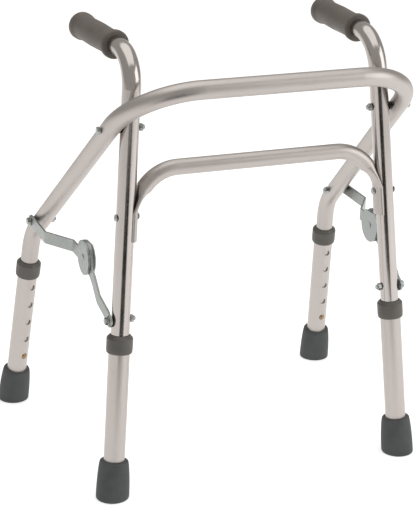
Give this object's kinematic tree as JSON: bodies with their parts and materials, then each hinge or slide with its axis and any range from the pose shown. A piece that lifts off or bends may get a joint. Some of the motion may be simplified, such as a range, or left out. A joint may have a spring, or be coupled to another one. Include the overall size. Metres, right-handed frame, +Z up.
{
  "type": "walking frame",
  "caption": "Child-size folding walking frame of bent aluminium tube with telescopic legs, snap buttons and folding side stays.",
  "frame": {"origin": "on the floor, in the middle of the frame's footprint box", "axes": "+Z up, +Y towards the open side where the child stands, -Y the side of the top bar, +X the right as seen from the top bar's side"},
  "size_m": [0.4868, 0.3878, 0.5472],
  "materials": {
    "tube": "satin",
    "zinc_steel": "zinc plated",
    "spring_steel": "oiled",
    "grip": "matt",
    "collar": "satin",
    "nylon": "matt",
    "rubber": "matt",
    "brass": "polished"
  },
  "bodies": {
    "front_frame": {"left_upright": "tube", "right_upright": "tube", "lower_rail": "tube", "left_grip": "grip", "right_grip": "grip", "rail_rivets": "zinc_steel", "front_stay_bolts": "zinc_steel", "front_stay_washers": "zinc_steel", "front_stay_nuts": "zinc_steel", "left_front_spring_clip": "spring_steel", "right_front_spring_clip": "spring_steel"},
    "rear_frame": {"rear_frame_tube": "tube", "pivot_bolts": "zinc_steel", "pivot_spacers": "nylon", "pivot_nuts": "zinc_steel", "rear_stay_bolts": "zinc_steel", "rear_stay_washers": "zinc_steel", "rear_stay_nuts": "zinc_steel", "left_rear_spring_clip": "spring_steel", "right_rear_spring_clip": "spring_steel"},
    "left_rear_link": {"left_rear_stay_link": "zinc_steel", "left_elbow_rivet": "zinc_steel"},
    "left_front_link": {"left_front_stay_link": "zinc_steel", "left_elbow_cover": "zinc_steel", "left_elbow_spring": "spring_steel"},
    "left_front_leg": {"left_front_extension": "tube", "left_front_collar": "collar", "left_front_tip": "rubber"},
    "left_front_button": {"left_front_snap_button": "brass"},
    "left_rear_leg": {"left_rear_extension": "tube", "left_rear_collar": "collar", "left_rear_tip": "rubber"},
    "left_rear_button": {"left_rear_snap_button": "brass"},
    "right_rear_link": {"right_rear_stay_link": "zinc_steel", "right_elbow_rivet": "zinc_steel"},
    "right_front_link": {"right_front_stay_link": "zinc_steel", "right_elbow_cover": "zinc_steel", "right_elbow_spring": "spring_steel"},
    "right_front_leg": {"right_front_extension": "tube", "right_front_collar": "collar", "right_front_tip": "rubber"},
    "right_front_button": {"right_front_snap_button": "brass"},
    "right_rear_leg": {"right_rear_extension": "tube", "right_rear_collar": "collar", "right_rear_tip": "rubber"},
    "right_rear_button": {"right_rear_snap_button": "brass"}
  },
  "joints": [
    {"name": "fold", "type": "hinge", "parent": "front_frame", "child": "rear_frame", "pos_m": [0, -0.11576, 0.4468], "axis": [-1, 0, 0], "range_deg": [0, 25]},
    {"name": "left_rear_stay", "type": "hinge", "parent": "rear_frame", "child": "left_rear_link", "pos_m": [-0.20465, 0.0875, 0.27777], "axis": [-1, 0, 0], "range_deg": [0, 25.2]},
    {"name": "left_front_stay", "type": "hinge", "parent": "front_frame", "child": "left_front_link", "pos_m": [-0.17556, -0.13259, 0.2205], "axis": [1, 0, 0], "range_deg": [0, 36]},
    {"name": "left_front_leg_slide", "type": "slide", "parent": "front_frame", "child": "left_front_leg", "axis": [-0.0719, -0.074, -0.9947], "range_m": [0, 0.106], "deforming": ["left_front_snap_button", "left_front_spring_clip"]},
    {"name": "left_front_button_press", "type": "slide", "parent": "front_frame", "child": "left_front_button", "axis": [0.0053, -0.9973, 0.0738], "range_m": [0, 0.0036], "stiffness_N_per_m": 2000, "springref_m": -0.001, "deforming": ["left_front_spring_clip"]},
    {"name": "left_rear_leg_slide", "type": "slide", "parent": "rear_frame", "child": "left_rear_leg", "axis": [-0.0599, 0.2055, -0.9768], "range_m": [0, 0.106], "deforming": ["left_rear_snap_button", "left_rear_spring_clip"]},
    {"name": "left_rear_button_press", "type": "slide", "parent": "rear_frame", "child": "left_rear_button", "axis": [-0.3704, 0.9042, 0.2129], "range_m": [0, 0.0036], "stiffness_N_per_m": 2000, "springref_m": -0.001, "deforming": ["left_rear_spring_clip"]},
    {"name": "right_rear_stay", "type": "hinge", "parent": "rear_frame", "child": "right_rear_link", "pos_m": [0.20465, 0.0875, 0.27777], "axis": [-1, 0, 0], "range_deg": [0, 25.2]},
    {"name": "right_front_stay", "type": "hinge", "parent": "front_frame", "child": "right_front_link", "pos_m": [0.17556, -0.13259, 0.2205], "axis": [1, 0, 0], "range_deg": [0, 36]},
    {"name": "right_front_leg_slide", "type": "slide", "parent": "front_frame", "child": "right_front_leg", "axis": [0.0719, -0.074, -0.9947], "range_m": [0, 0.106], "deforming": ["right_front_snap_button", "right_front_spring_clip"]},
    {"name": "right_front_button_press", "type": "slide", "parent": "front_frame", "child": "right_front_button", "axis": [-0.0053, -0.9973, 0.0738], "range_m": [0, 0.0036], "stiffness_N_per_m": 2000, "springref_m": -0.001, "deforming": ["right_front_spring_clip"]},
    {"name": "right_rear_leg_slide", "type": "slide", "parent": "rear_frame", "child": "right_rear_leg", "axis": [0.0599, 0.2055, -0.9768], "range_m": [0, 0.106], "deforming": ["right_rear_snap_button", "right_rear_spring_clip"]},
    {"name": "right_rear_button_press", "type": "slide", "parent": "rear_frame", "child": "right_rear_button", "axis": [-0.1187, 0.9731, 0.1975], "range_m": [0, 0.0036], "stiffness_N_per_m": 2000, "springref_m": -0.001, "deforming": ["right_rear_spring_clip"]}
  ],
  "couplings": [
    {"joint": "left_rear_stay", "follows": "fold", "ratio": 0.9976},
    {"joint": "left_front_stay", "follows": "fold", "ratio": 1.4317},
    {"joint": "right_rear_stay", "follows": "fold", "ratio": 0.9976},
    {"joint": "right_front_stay", "follows": "fold", "ratio": 1.4317}
  ]
}
